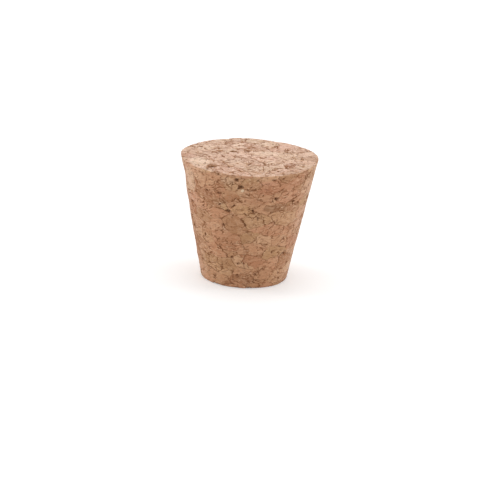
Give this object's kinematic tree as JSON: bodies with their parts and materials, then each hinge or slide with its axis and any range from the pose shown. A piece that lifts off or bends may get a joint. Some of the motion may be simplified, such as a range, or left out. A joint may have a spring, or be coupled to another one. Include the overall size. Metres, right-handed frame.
{
  "type": "cork stopper",
  "caption": "Tapered stopper of pressed cork granules with seams, crevices, pits and worn rims; pushed by hand into the neck of a bottle.",
  "frame": {"origin": "centre of the small end's face, on the surface that the stopper stands on", "axes": "+Z along the taper's axis from the small end up to the large end; -Y is the side seen from the front"},
  "size_m": [0.022, 0.022, 0.02],
  "materials": {
    "cork": "matte pressed cork, mottled granules with dark seams and pits"
  },
  "bodies": {
    "root": {"stopper": "cork"}
  },
  "joints": []
}
